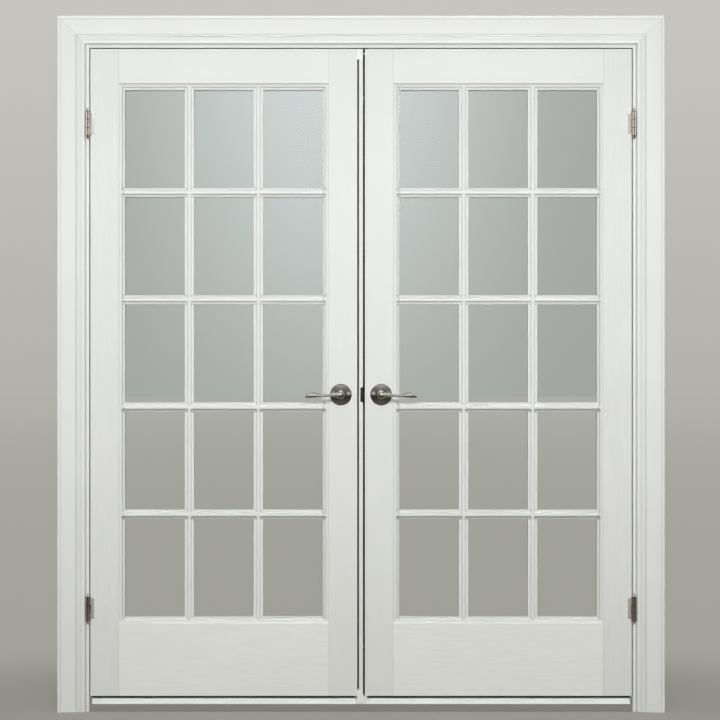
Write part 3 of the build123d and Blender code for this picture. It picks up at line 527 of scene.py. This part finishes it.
def reflection_and_joint_bands(tree, spot):
    """Painted dark reflection down both flanks of the barrel and along its middle, and a dark ring at every
    joint.

    The barrel is polished, and the plates are only satin, so less of them shows as bare metal.
    """
    part = add(tree, "ShaderNodeSeparateXYZ", {0: spot})
    x = add(tree, "ShaderNodeMath", {0: part.outputs["X"]}, operation="ABSOLUTE")
    x = add(tree, "ShaderNodeMath", {0: x, 1: barrel_x}, operation="SUBTRACT")
    x = add(tree, "ShaderNodeMath", {0: x}, operation="ABSOLUTE")
    past_flank = add(tree, "ShaderNodeMath", {0: x, 1: barrel_flank}, operation="SUBTRACT")
    flank_line, middle_line = line(tree, past_flank, 0.0018), line(tree, x, 0.0012)
    mark = add(tree, "ShaderNodeMath", {0: flank_line, 1: middle_line}, operation="MAXIMUM")
    for low in barrel_lows:
        for joint in range(knuckles + 1):
            height = low + barrel_length * joint / knuckles
            z = add(tree, "ShaderNodeMath", {0: part.outputs["Z"], 1: height}, operation="SUBTRACT")
            mark = add(tree, "ShaderNodeMath", {0: mark, 1: line(tree, z, 0.0012)}, operation="MAXIMUM")
    barrel = add(tree, "ShaderNodeMath", {0: part.outputs["Y"], 1: barrel_back}, operation="LESS_THAN")
    mark = add(tree, "ShaderNodeMath", {0: mark, 1: barrel}, operation="MULTIPLY")
    band = add(tree, "ShaderNodeMapRange", {0: mark, 2: 0.2, 3: 1.0, 4: 0.12})
    bare = add(tree, "ShaderNodeMapRange", {0: barrel, 3: 0.35, 4: 1.0})
    return band, bare


def skin(name, finish, body, grids, smooth=35.0):
    """Closed tubes, smooth across edges up to that angle in degrees.

    Each grid is (rings, points round a ring, 3). Rings are joined in turn, and both ends are filled.
    """
    places, faces, start = [], [], 0
    for grid in grids:
        rings, count = grid.shape[:2]
        i, j = np.meshgrid(np.arange(rings - 1), np.arange(count), indexing="ij")
        k = (j + 1) % count
        quads = np.stack([i * count + j, i * count + k, (i + 1) * count + k, (i + 1) * count + j], -1)
        ends = [np.arange(count)[::-1], np.arange(count) + (rings - 1) * count]
        faces += (quads.reshape(-1, 4) + start).tolist() + [(end + start).tolist() for end in ends]
        places.append(grid.reshape(-1, 3))
        start += rings * count
    mesh = bpy.data.meshes.new(name)
    mesh.from_pydata(np.concatenate(places).tolist(), [], faces)
    work = bmesh.new()
    work.from_mesh(mesh)
    bmesh.ops.recalc_face_normals(work, faces=work.faces)
    work.to_mesh(mesh)
    work.free()
    mesh.shade_smooth()
    mesh.set_sharp_from_angle(angle=math.radians(smooth))
    mesh.materials.append(finish)
    made = bpy.data.objects.new(name, mesh)
    scene.collection.objects.link(made)
    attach(made, body)
    return made


def square_to(axis):
    """Two directions that are square to the axis and to each other."""
    side = np.cross(axis, (0.0, 0.0, 1.0)) if abs(axis[2]) < 0.5 else np.array([1.0, 0.0, 0.0])
    return side, np.cross(axis, side)


def turned(profile, centre, axis, count=48):
    """A lathe shape: each (radius, height) of the profile makes a ring round the axis through the centre."""
    profile = np.asarray(profile, float)
    angle = np.linspace(0, 2 * np.pi, count, endpoint=False)
    axis = np.asarray(axis, float)
    side, up = square_to(axis)
    ring = np.cos(angle)[:, None] * side + np.sin(angle)[:, None] * up
    radius = np.maximum(profile[:, 0], 1e-5)[:, None, None]
    return np.asarray(centre, float) + radius * ring + profile[:, 1][:, None, None] * axis


# The hinge barrels carry painted dark reflection bands, and dark rings at their knuckle joints.
hinge_metal = worked_metal("satin_plated_hinge_steel", "#d2cabd", 0.13, 2, 0.2, reflection_and_joint_bands)
steeple = [
    (0.0034, 0.0), (0.0064, 0.0002), (0.0066, 0.0012), (0.006, 0.0022), (0.0048, 0.0034),
    (0.0044, 0.0055), (0.0036, 0.0078), (0.002, 0.0098), (0.0, 0.0105),
]
half_barrel = barrel_length / 2
pin_profile = [(radius, -height - half_barrel) for radius, height in reversed(steeple)]
pin_profile += [(radius, height + half_barrel) for radius, height in steeple]
for side, sign in sides:
    coat_with(hinge_metal, side + "_frame_hinge_plates", side + "_leaf_hinge_plates")
    centres = [(sign * barrel_x, barrel_y, low + half_barrel) for low in barrel_lows]
    pins = [turned(pin_profile, centre, (0, 0, 1)) for centre in centres]
    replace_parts(skin(side + "_steeple_pins", hinge_metal, "frame", pins), side + "_hinge_pins")


def screw_heads(name, finish, body, centres, normal, radius=0.0036, proud=0.0003):
    """Flat heads with a cross: a polar grid whose height drops by a recess where either cross arm passes."""
    half_arm, arm_edge, recess_depth = 0.00075, 0.0003, 0.0012
    angle = np.linspace(0, 2 * np.pi, 24, endpoint=False)
    rings = np.array([0.02, 0.2, 0.34, 0.48, 0.62, 0.8, 0.94, 1.0, 1.0])[:, None] * radius
    u = rings * np.cos(angle)
    v = rings * np.sin(angle)
    arm = np.minimum(np.abs(u), np.abs(v))
    recess = np.clip((half_arm - arm) / arm_edge, 0, 1) * (rings < 0.6 * radius)
    top = proud - 0.25 * proud * (rings / radius) ** 2 - recess_depth * recess
    top[-1] = -2 * proud
    normal = np.asarray(normal, float)
    side, up = square_to(normal)
    shape = u[..., None] * side + v[..., None] * up + top[..., None] * normal
    return skin(name, finish, body, [np.asarray(centre, float) + shape for centre in centres], 50.0)


screw_metal = worked_metal("nickel_screw_heads", "#9d978d", 0.34, 1, 0.2)
screw_places = ((-0.032, 0.013), (-0.046, 0.038), (-0.032, 0.063))
jamb_plate_x, leaf_plate_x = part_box("head_jamb")[1].x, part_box("right_hinge_stile")[1].x
for side, sign in sides:
    plates = (
        ("_jamb_screws", "frame", jamb_plate_x, -sign),
        ("_leaf_screws", side + "_leaf", leaf_plate_x, sign),
    )
    for name, body, plate_x, way in plates:
        centres = [(sign * plate_x, y, low + z) for low in barrel_lows for y, z in screw_places]
        screw_heads(side + name, screw_metal, body, centres, (way, 0, 0))


# Levers and roses
# Cast zinc, plated satin nickel. A domed rose hides the bore, and a waved lever grows out of
# the hub, dips behind it and ends in a flat paddle whose upper rim stands highest.

rose_radius = 0.034
rose_low, rose_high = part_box("right_roses")
lever_x, lever_z = rose_high.x - rose_radius, (rose_low.z + rose_high.z) / 2
outside_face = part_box("right_lock_stile")[1].y
nickel = worked_metal("satin_nickel_on_levers", "#aaa69c", 0.22, 0, 0.06)
# The roses wear a darker copy of the levers' nickel: painted shade that darkens all they mirror.
shaded_rose_nickel = worked_metal("shaded_nickel_on_roses", "#8f8c86", 0.15, 0, 0.05)


def rose_form(sign, out, face):
    """A lathe rose: a thin rim, a step, and a dome whose height falls with the way out and its square."""
    hub_radius, dome_height = 0.013, 0.009
    out_by = np.linspace(0.0185, 0, 14)
    dome = np.stack([hub_radius + out_by, dome_height - 0.24 * out_by - 5.2 * out_by**2], -1)
    rim = [(0.0, 0.0), (rose_radius, 0.0), (rose_radius, 0.0012), (0.0334, 0.002), (0.0318, 0.0024)]
    profile = np.concatenate([rim, dome, [(0.0, dome_height)]])
    return turned(profile, (sign * lever_x, face, lever_z), (0, out, 0), 72)


def lever_form(sign, out, face):
    """The arm as a loft of flattened oval rings, which stand closer towards its tip.

    Each station gives in mm a ring's place along the arm, its middle, half height and half depth,
    and between stations these run straight.
    """
    stations = np.array([
        (0, 0, 9.5, 5), (8, 0, 8.6, 5), (16, -0.3, 6.6, 5), (26, -0.9, 5.3, 4.8), (38, -1.6, 4.5, 4.4),
        (52, -2.6, 3.6, 4.0), (64, -3.4, 3.1, 3.6), (72, -2.7, 4.4, 3.2), (80, -1.8, 6.2, 2.9),
        (88, -1.5, 7.3, 2.7), (96, -2.2, 7.3, 2.6), (104, -4.0, 5.4, 2.4), (109, -5.3, 3.4, 2.0),
        (111.5, -5.9, 1.6, 1.2), (112, -6.0, 0.2, 0.2),
    ]) / 1000
    at, middle, half_height, half_depth = stations.T
    arm_stand, rings, count = 0.052, 80, 40
    s = np.linspace(0, 1, rings)
    s = at[-1] * (1 - (1 - s) ** 1.6)
    turn = np.linspace(0, 2 * np.pi, count, endpoint=False)
    z = np.interp(s, at, middle)[:, None] + np.interp(s, at, half_height)[:, None] * np.sin(turn)
    y = arm_stand + np.interp(s, at, half_depth)[:, None] * np.cos(turn)
    x = np.broadcast_to(s[:, None], z.shape)
    return np.stack([sign * (lever_x + x), face + out * y, lever_z + z], -1)


def hub_form(sign, out, face):
    """A turned neck that flares into a hub with a softly domed end."""
    hub_radius, hub_end, crown_height = 0.0125, 0.0535, 0.0035
    crown = np.linspace(0, np.pi / 2, 8)
    dome = np.stack([hub_radius * np.cos(crown), hub_end + crown_height * np.sin(crown)], -1)
    neck = [
        (0.0, 0.0093), (0.0118, 0.0093), (0.0118, 0.0105), (0.0098, 0.013), (0.0092, 0.02), (0.0094, 0.032),
        (0.0105, 0.039), (0.0119, 0.0425), (hub_radius, 0.046),
    ]
    return turned(np.concatenate([neck, dome]), (sign * lever_x, face, lever_z), (0, out, 0), 64)


leaf_faces = ((leaf_face, -1), (outside_face, 1))
for side, sign in sides:
    roses = [rose_form(sign, out, face) for face, out in leaf_faces]
    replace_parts(skin(side + "_domed_roses", shaded_rose_nickel, side + "_leaf", roses), side + "_roses")
left_set = [form(-1, out, face) for form in (hub_form, lever_form) for face, out in leaf_faces]
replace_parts(skin("left_waved_levers", nickel, "left_leaf", left_set), "left_levers")
for node, (face, out) in zip(("right_inside_lever", "right_outside_lever"), leaf_faces):
    right_set = [hub_form(1, out, face), lever_form(1, out, face)]
    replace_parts(skin(node.replace("lever", "waved_lever"), nickel, "lever_set", right_set), node)


# Latch, bolts and strike
# The spindle, the latch case, the flush bolts and their keepers are zinc plated steel. The strike
# is a thin steel plate in dark bronze lacquer, and the latch bolt that enters it wears the same.

lock_steel = worked_metal("zinc_plated_lock_steel", "#9b9b9b", 0.35, 2, 0.2)
coat_with(lock_steel, "lever_spindle", "latch_case", "top_bolt", "bottom_bolt", "bolt_keepers")
coat_with(worked_metal("dark_bronze_strike", "#4a4743", 0.4, 2, 0.2), "strike_plate", "latch_bolt")
